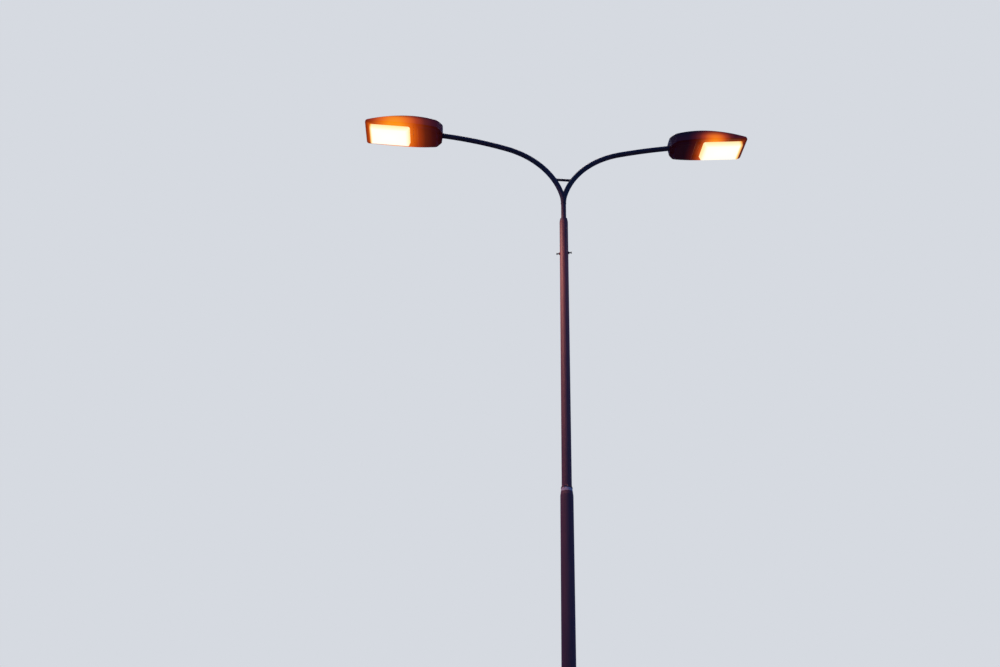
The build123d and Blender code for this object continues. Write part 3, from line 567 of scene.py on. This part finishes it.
def laminated_core(side):
    """Stacked steel laminations dipped in black lacquer: fine dark lines across the block."""
    add, material = new_material(f"{side} ballast dipped steel laminations")
    place = lantern_place(add, side)
    # Laminations 0.5 mm thick, drawn as bands of 3 mm so that they show
    bands = add("ShaderNodeTexWave", {"Vector": place, "Scale": 105.0}, bands_direction="Y")
    base = add("ShaderNodeValToRGB", {"Fac": bands}, stops=((0.2, "121214"), (0.7, "2c2b2d")))
    bump = add("ShaderNodeBump", {"Strength": 0.4, "Distance": 0.001, "Height": bands})
    shader = add(
        "ShaderNodeBsdfPrincipled",
        {"Base Color": base, "Roughness": 0.3, "IOR": 1.5, "Normal": bump},
    )
    add("ShaderNodeOutputMaterial", {"Surface": shader})
    return material


MAST_PAINT = brushed_paint(
    "red-brown brushed alkyd paint",
    light="80494c",
    middle="6f3e43",
    dark="583036",
    rough=0.62,
    pale_banded=True,
)
BRACKET_PAINT = brushed_paint(
    "dark plum brushed alkyd paint",
    light="623a48",
    middle="4e2c39",
    dark="36202b",
    rough=0.6,
)
# Zinc plate: grey with a soft gleam, and dark where it has dulled
ZINC = spangled_metal("zinc-plated steel", light="8f9092", dark="3c3a3b", rough=0.38)
# Galvanising under its white bloom: pale, mottled and nearly matt
GALVANISED = spangled_metal(
    "hot-dip galvanised steel", light="a3a6a8", dark="6c6f72", rough=0.55, metal=0.45
)
# Cast brass: yellow, and brown in patches
BRASS = spangled_metal("worn cast brass", light="a8843f", dark="4f3d1e", rough=0.38)
# A drawn can: bright and nearly even
ALUMINIUM = spangled_metal("drawn aluminium can", light="c9cacb", dark="9a9b9c", rough=0.3)
# Blackened steel: nearly black, with a faint and broken gleam
BLACKENED = spangled_metal("blackened screw steel", light="2b2426", dark="171315", rough=0.5)

SIDED_MATERIALS = {
    "lantern_paint": {side: lantern_enamel(side) for side in SIDES},
    "bowl_glass": {side: bowl_glass(side) for side in SIDES},
    "lamp_glass": {side: lamp_glass(side) for side in SIDES},
    "reflector_aluminium": {side: lit_reflector(side) for side in SIDES},
    "ballast_lacquer": {side: laminated_core(side) for side in SIDES},
}
PLAIN_MATERIALS = {
    "mast_paint": MAST_PAINT,
    "bracket_paint": BRACKET_PAINT,
    "zinc_steel": ZINC,
    "brass_lock": BRASS,
    "capacitor_can": ALUMINIUM,
    "porcelain": glazed_porcelain(),
}
NODE_MATERIALS = {"set_screws": BLACKENED}
# The catches are painted over with the lantern's enamel, and carry its painted spill light too
PAINTED_OVER = ("cover_catch", "bowl_catches")


def dress_nodes():
    """Give every node of the part the material of its slot, or one of its own."""
    for subpart in frame["record"]["subparts"]:
        node = subpart["node"]
        slot = subpart["material_slot"]
        if node in NODE_MATERIALS:
            material = NODE_MATERIALS[node]
        elif node.endswith(PAINTED_OVER):
            material = SIDED_MATERIALS["lantern_paint"][node.split("_")[0]]
        elif slot in SIDED_MATERIALS:
            material = SIDED_MATERIALS[slot][node.split("_")[0]]
        else:
            material = PLAIN_MATERIALS[slot]
        mesh = frame["nodes"][node].data
        mesh.materials.clear()
        mesh.materials.append(material)


dress_nodes()


# Pieces that repeat or follow a path
def new_pattern(name, sizes):
    """An empty geometry tree with named inputs: its maker of nodes, its inputs and the tree."""
    tree = bpy.data.node_groups.new(name, "GeometryNodeTree")
    tree.interface.new_socket("Geometry", in_out="OUTPUT", socket_type="NodeSocketGeometry")
    tree.interface.new_socket("Geometry", in_out="INPUT", socket_type="NodeSocketGeometry")
    for size in sizes:
        tree.interface.new_socket(size, in_out="INPUT", socket_type="NodeSocketFloat")
    tree.interface.new_socket("Finish", in_out="INPUT", socket_type="NodeSocketMaterial")
    add = partial(add_node, tree)
    return add, add("NodeGroupInput").outputs, tree


def close_pattern(add, given, geometry):
    """The end of every tree: the instances made real, in the finish that was given."""
    real = add("GeometryNodeRealizeInstances", {"Geometry": geometry})
    finished = add("GeometryNodeSetMaterial", {"Geometry": real, "Material": given["Finish"]})
    add("NodeGroupOutput", {"Geometry": finished})


def lay_out(name, tree, sizes, points, edges, finish, body):
    """Run a tree over points or paths and keep its result as a plain mesh on a body."""
    path = bpy.data.meshes.new(f"{name} path")
    path.from_pydata([tuple(point) for point in points], edges, [])
    holder = bpy.data.objects.new(f"{name} path", path)
    bpy.context.scene.collection.objects.link(holder)
    modifier = holder.modifiers.new("pattern", "NODES")
    modifier.node_group = tree
    values = dict(sizes, Finish=finish)
    for item in tree.interface.items_tree:
        if item.in_out == "INPUT" and item.name in values:
            modifier[item.identifier] = values[item.name]
    graph = bpy.context.evaluated_depsgraph_get()
    mesh = bpy.data.meshes.new_from_object(holder.evaluated_get(graph))
    mesh.name = name
    bpy.data.objects.remove(holder)
    piece = bpy.data.objects.new(name, mesh)
    bpy.context.scene.collection.objects.link(piece)
    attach(piece, body)


def weld_pattern():
    """A weld bead: overlapping drops laid along a path, a little uneven as a hand leaves them."""
    add, given, tree = new_pattern("rippled weld", WELD_SIZES)
    path = add("GeometryNodeMeshToCurve", {"Mesh": given["Geometry"]})
    steps = add(
        "GeometryNodeCurveToPoints", {"Curve": path, "Length": given["Ripple"]}, mode="LENGTH"
    )
    drop = add("GeometryNodeMeshIcoSphere", {"Radius": given["Bead radius"], "Subdivisions": 2})
    smooth = add("GeometryNodeSetShadeSmooth", {"Geometry": drop})
    uneven = add(
        "FunctionNodeRandomValue",
        {0: SMALLEST_DROP, 1: LARGEST_DROP, "Seed": WELD_SEED},
        data_type="FLOAT_VECTOR",
    )
    beads = add(
        "GeometryNodeInstanceOnPoints",
        {
            "Points": steps,
            "Instance": smooth,
            "Rotation": steps.outputs["Rotation"],
            "Scale": uneven,
        },
    )
    close_pattern(add, given, beads)
    return tree


def anchor_pattern():
    """An anchor bolt's end on each point: washer, nut, thinner lock nut and a threaded stud."""
    add, given, tree = new_pattern("anchor bolt end", ANCHOR_SIZES)
    half_stud = add("ShaderNodeMath", {0: given["Stud diameter"], 1: 0.5}, operation="MULTIPLY")
    half_nut = add(
        "ShaderNodeMath", {0: given["Across flats"], 1: 1 / sqrt(3)}, operation="MULTIPLY"
    )
    half_washer = add(
        "ShaderNodeMath", {0: given["Washer diameter"], 1: 0.5}, operation="MULTIPLY"
    )
    # Heights of the middles: the washer on the plate, the nut on it and the lock nut on that
    washer_middle = add(
        "ShaderNodeMath",
        {0: given["Washer thickness"], 1: 0.5, 2: given["Plate thickness"]},
        operation="MULTIPLY_ADD",
    )
    washer_top = add(
        "ShaderNodeMath",
        {0: given["Washer thickness"], 1: given["Plate thickness"]},
        operation="ADD",
    )
    nut_middle = add(
        "ShaderNodeMath",
        {0: given["Nut height"], 1: 0.5, 2: washer_top},
        operation="MULTIPLY_ADD",
    )
    lock_middle = add(
        "ShaderNodeMath",
        {0: given["Nut height"], 1: (1 + LOCK_NUT_SHARE) / 2, 2: nut_middle},
        operation="MULTIPLY_ADD",
    )
    stud_middle = add("ShaderNodeMath", {0: given["Stud top"], 1: 0.5}, operation="MULTIPLY")
    washer = add(
        "GeometryNodeMeshCylinder",
        {
            "Vertices": WASHER_SIDES,
            "Radius": half_washer,
            "Depth": given["Washer thickness"],
        },
    )
    nut = add(
        "GeometryNodeMeshCylinder",
        {"Vertices": 6, "Radius": half_nut, "Depth": given["Nut height"]},
    )
    lock_height = add(
        "ShaderNodeMath", {0: given["Nut height"], 1: LOCK_NUT_SHARE}, operation="MULTIPLY"
    )
    level_nut = add(
        "GeometryNodeMeshCylinder", {"Vertices": 6, "Radius": half_nut, "Depth": lock_height}
    )
    lock_nut = add(
        "GeometryNodeTransform", {"Geometry": level_nut, "Rotation": (0, 0, LOCK_NUT_TURN)}
    )
    core_radius = add("ShaderNodeMath", {0: half_stud, 1: -THREAD_DEPTH}, operation="ADD")
    core = add(
        "GeometryNodeMeshCylinder",
        {
            "Vertices": STUD_SIDES,
            "Radius": core_radius,
            "Depth": given["Stud top"],
        },
    )
    # The thread stops one turn short of the stud's two ends
    threaded = add(
        "ShaderNodeMath",
        {0: given["Pitch"], 1: -2.0, 2: given["Stud top"]},
        operation="MULTIPLY_ADD",
    )
    turns = add("ShaderNodeMath", {0: threaded, 1: given["Pitch"]}, operation="DIVIDE")
    helix = add(
        "GeometryNodeCurveSpiral",
        {
            "Resolution": THREAD_STEPS,
            "Rotations": turns,
            "Start Radius": core_radius,
            "End Radius": core_radius,
            "Height": threaded,
        },
    )
    crest_radius = add(
        "ShaderNodeMath", {0: given["Pitch"], 1: CREST_SHARE}, operation="MULTIPLY"
    )
    # A circle of four points is a square that stands on a corner, so the crest is sharp
    crest = add("GeometryNodeCurvePrimitiveCircle", {"Resolution": 4, "Radius": crest_radius})
    thread = add("GeometryNodeCurveToMesh", {"Curve": helix, "Profile Curve": crest})
    raised = []
    for piece, height in (
        (washer, washer_middle),
        (nut, nut_middle),
        (lock_nut, lock_middle),
        (core, stud_middle),
        (thread, given["Pitch"]),
    ):
        lift = add("ShaderNodeCombineXYZ", {"Z": height})
        raised.append(add("GeometryNodeTransform", {"Geometry": piece, "Translation": lift}))
    joined = add("GeometryNodeJoinGeometry", {"Geometry": raised})
    bolts = add(
        "GeometryNodeInstanceOnPoints", {"Points": given["Geometry"], "Instance": joined}
    )
    close_pattern(add, given, bolts)
    return tree


def screw_pattern(matrix):
    """A pan-head screw on each point, its head turned to the lantern's underside."""
    add, given, tree = new_pattern("pan-head screw", SCREW_SIZES)
    half_head = add("ShaderNodeMath", {0: given["Head diameter"], 1: 0.5}, operation="MULTIPLY")
    dome = add(
        "GeometryNodeMeshUVSphere", {"Segments": 20, "Rings": 10, "Radius": half_head}
    )
    flatness = add(
        "ShaderNodeMath", {0: given["Head height"], 1: half_head}, operation="DIVIDE"
    )
    squat = add("ShaderNodeCombineXYZ", {"X": 1.0, "Y": 1.0, "Z": flatness})
    head = add("GeometryNodeTransform", {"Geometry": dome, "Scale": squat})
    smooth = add("GeometryNodeSetShadeSmooth", {"Geometry": head})
    screws = add(
        "GeometryNodeInstanceOnPoints",
        {
            "Points": given["Geometry"],
            "Instance": smooth,
            "Rotation": tuple(matrix.to_euler()),
        },
    )
    close_pattern(add, given, screws)
    return tree


def arm_offset(height):
    """How far an arm's centre line stands from the mast's axis at a height above the fork."""
    fork_rise = FORK_BEND_RADIUS * sin(FORK_BEND_TURN)
    if height <= fork_rise:
        return FORK_BEND_RADIUS - sqrt(FORK_BEND_RADIUS**2 - height**2)
    turn = asin(sin(FORK_BEND_TURN) + (height - fork_rise) / MAIN_BEND_RADIUS)
    fork_run = FORK_BEND_RADIUS * (1 - cos(FORK_BEND_TURN))
    return fork_run + MAIN_BEND_RADIUS * (cos(FORK_BEND_TURN) - cos(turn))


def ring_path(radius, height):
    """A level circle round the mast."""
    turns = [2 * pi * step / RING_STEPS for step in range(RING_STEPS + 1)]
    return [(radius * cos(turn), radius * sin(turn), height) for turn in turns]


def mast_weld_paths():
    """The fillet welds of the base plate, the gussets and the mast's two steps."""
    paths = [ring_path(LOWER_RADIUS + WELD_SIZE / 2, PLATE_THICKNESS + WELD_SIZE / 2)]
    steps = (
        (LOWER_WALL, LOWER_TOP, MIDDLE_RADIUS),
        (MIDDLE_WALL, MIDDLE_TOP, TOP_RADIUS),
    )
    for wall, height, next_radius in steps:
        paths.append(ring_path(next_radius + wall, height + WELD_SIZE / 2))
        paths.append(ring_path(next_radius + WELD_SINK, height + WELD_RING_HEIGHT))
    aside = GUSSET_THICKNESS / 2 + WELD_SINK
    inner = LOWER_RADIUS + WELD_SIZE / 2
    low = PLATE_THICKNESS + WELD_SINK
    for turn in (0, pi / 2, pi, 3 * pi / 2):
        for way in (-1, 1):
            corner_line = ((inner, low), (inner + GUSSET_REACH - WELD_SIZE, low))
            wall_line = ((inner, low), (inner, low + GUSSET_HEIGHT - WELD_SIZE))
            for line in (corner_line, wall_line):
                paths.append(
                    [
                        (
                            reach * cos(turn) - way * aside * sin(turn),
                            reach * sin(turn) + way * aside * cos(turn),
                            height,
                        )
                        for reach, height in line
                    ]
                )
    return paths


def bracket_weld_paths():
    """The welds where the stem meets the arms, the arms each other, and the tie bar the arms."""
    paths = [ring_path(STEM_RADIUS, FORK_HEIGHT)]
    # The two arms part where each has moved aside by its own radius
    crotch = 0.0
    while arm_offset(crotch) < ARM_RADIUS:
        crotch += SHORT_RISE
    bar_radius = TIE_BAR_RADIUS + WELD_SINK
    for way in (-1, 1):
        seam = []
        for step in range(SEAM_STEPS + 1):
            height = crotch * step / SEAM_STEPS
            depth = sqrt(max(ARM_RADIUS**2 - arm_offset(height) ** 2, 0))
            seam.append((0, way * depth, FORK_HEIGHT + height))
        paths.append(seam)
        bar_end = []
        for step in range(SEAM_STEPS + 1):
            turn = 2 * pi * step / SEAM_STEPS
            across = bar_radius * cos(turn)
            height = TIE_BAR_HEIGHT - FORK_HEIGHT + bar_radius * sin(turn)
            lean = (arm_offset(height + SHORT_RISE) - arm_offset(height)) / SHORT_RISE
            skin = sqrt(ARM_RADIUS**2 - across**2) * sqrt(1 + lean**2)
            bar_end.append((way * (arm_offset(height) - skin), across, FORK_HEIGHT + height))
        paths.append(bar_end)
    return paths


def joined_paths(paths):
    """Several open paths as the points and the edges of one mesh."""
    points = []
    edges = []
    for path in paths:
        start = len(points)
        points += path
        edges += [(number, number + 1) for number in range(start, start + len(path) - 1)]
    return points, edges


weld = weld_pattern()
for name, paths, paint, slot in (
    ("mast_welds", mast_weld_paths(), MAST_PAINT, "mast_paint"),
    ("bracket_welds", bracket_weld_paths(), BRACKET_PAINT, "bracket_paint"),
):
    points, edges = joined_paths(paths)
    lay_out(name, weld, WELD_SIZES, points, edges, finish=paint, body="mast")

half_spacing = ANCHOR_SPACING / 2
lay_out(
    "anchor_bolt_ends",
    anchor_pattern(),
    ANCHOR_SIZES,
    [(x, y, 0) for x in (-half_spacing, half_spacing) for y in (-half_spacing, half_spacing)],
    edges=[],
    finish=GALVANISED,
    body="mast",
)

for side in SIDES:
    places = [(x, y, LID_BOTTOM) for x in FRAME_SCREW_X for y in (-FRAME_SCREW_Y, FRAME_SCREW_Y)]
    # The screws are in the lantern's enamel, and carry its painted spill light
    lay_out(
        f"{side}_bowl_frame_screws",
        screw_pattern(LANTERN[side]),
        SCREW_SIZES,
        [LANTERN[side] @ Vector(place) for place in places],
        edges=[],
        finish=SIDED_MATERIALS["lantern_paint"][side],
        body=f"{side}_bowl_lid",
    )


# Stage, light and camera
def plain_floor():
    """A large floor that the base plate rests on. It is kept evenly pale by a light of its own
    that only the camera sees."""
    mesh = bpy.data.meshes.new("floor")
    shape = bmesh.new()
    bmesh.ops.create_grid(shape, x_segments=1, y_segments=1, size=FLOOR_REACH)
    shape.to_mesh(mesh)
    shape.free()
    floor = bpy.data.objects.new("floor", mesh)
    bpy.context.scene.collection.objects.link(floor)
    add, material = new_material("pale studio floor")
    shader = add(
        "ShaderNodeBsdfPrincipled",
        {
            "Base Color": hex_colour("a8997e"),
            "Roughness": 0.85,
            "Emission Color": hex_colour("cbcac6"),
            "Emission Strength": add("ShaderNodeLightPath").outputs["Is Camera Ray"],
        },
    )
    add("ShaderNodeOutputMaterial", {"Surface": shader})
    mesh.materials.append(material)


def place_light(light, place, aim):
    """Put a light at a place, turned to a point, and out of the camera's sight."""
    light.location = place
    light.rotation_euler = (Vector(aim) - Vector(place)).to_track_quat("-Z", "Y").to_euler()
    light.visible_camera = False
    bpy.context.scene.collection.objects.link(light)


def area_light(name, place, aim, size, power, colour):
    """A soft square light that faces a point; size is its side."""
    data = bpy.data.lights.new(name, "AREA")
    data.size = size
    data.energy = power
    data.color = hex_colour(colour)[:3]
    place_light(bpy.data.objects.new(name, data), place, aim)


def spot_light(name, place, aim, spread, radius, power, colour):
    """A soft-edged spotlight that faces a point; spread is its whole angle in degrees, and
    radius the lamp's own, which softens its shadows."""
    data = bpy.data.lights.new(name, "SPOT")
    data.spot_size = radians(spread)
    data.spot_blend = 1.0
    data.shadow_soft_size = radius
    data.energy = power
    data.color = hex_colour(colour)[:3]
    place_light(bpy.data.objects.new(name, data), place, aim)


def studio():
    """Warm light down the mast from each lantern, much more from the left one, a soft light over
    the bracket, one on the mast's foot, one on the back of its lower half, and weak bluish light
    all round."""
    spot_light(
        "left mast light",
        place=(-2.0, -0.55, 9.2),
        aim=(0, 0, 5.2),
        spread=90,
        radius=0.2,
        power=560,
        colour="ffb89c",
    )
    spot_light(
        "right mast light",
        place=(1.9, -0.5, 9.2),
        aim=(0, 0, 6.0),
        spread=70,
        radius=0.2,
        power=36,
        colour="ffb4c8",
    )
    area_light(
        "top light",
        place=(-0.5, 1.6, 14.5),
        aim=(0, 0.1, 8.9),
        size=2.0,
        power=160,
        colour="ffe9dc",
    )
    spot_light(
        "foot light",
        place=(-3.0, -4.5, 3.2),
        aim=(0, 0, 0.7),
        spread=34,
        radius=0.6,
        power=800,
        colour="ffe9dc",
    )
    spot_light(
        "back light",
        place=(0.8, 7.0, 5.0),
        aim=(0, 0, 2.4),
        spread=40,
        radius=0.6,
        power=500,
        colour="ffeedd",
    )
    # Only the camera sees the pale backdrop. The object gets weak bluish light from all round
    world = bpy.data.worlds.new("pale studio")
    world.use_nodes = True
    world.node_tree.nodes.clear()
    add = partial(add_node, world.node_tree)
    seen = add("ShaderNodeLightPath").outputs["Is Camera Ray"]
    backdrop = add("ShaderNodeBackground", {"Color": hex_colour("d6dae1"), "Strength": 1.0})
    ambient = add("ShaderNodeBackground", {"Color": hex_colour("4682e2"), "Strength": 0.58})
    mixed = add("ShaderNodeMixShader", {0: seen, 1: ambient, 2: backdrop})
    add("ShaderNodeOutputWorld", {"Surface": mixed})
    bpy.context.scene.world = world
    bpy.context.scene.view_settings.view_transform = "Standard"


def photo_camera():
    """The camera at the photo's place, with its pitch, yaw and roll."""
    ahead = Vector((sin(YAW) * cos(PITCH), cos(YAW) * cos(PITCH), sin(PITCH)))
    level = Vector((cos(YAW), -sin(YAW), 0))
    upright = level.cross(ahead)
    right = cos(CAMERA_ROLL) * level + sin(CAMERA_ROLL) * upright
    up = -sin(CAMERA_ROLL) * level + cos(CAMERA_ROLL) * upright
    data = bpy.data.cameras.new("camera")
    data.sensor_width = SENSOR_WIDTH
    data.lens = FOCAL_PIXELS * SENSOR_WIDTH / IMAGE_WIDTH
    data.clip_end = 200.0
    camera = bpy.data.objects.new("camera", data)
    turn = Matrix((right, up, -ahead)).transposed()
    camera.matrix_world = Matrix.Translation(EYE) @ turn.to_4x4()
    bpy.context.scene.collection.objects.link(camera)
    bpy.context.scene.camera = camera


plain_floor()
studio()
photo_camera()
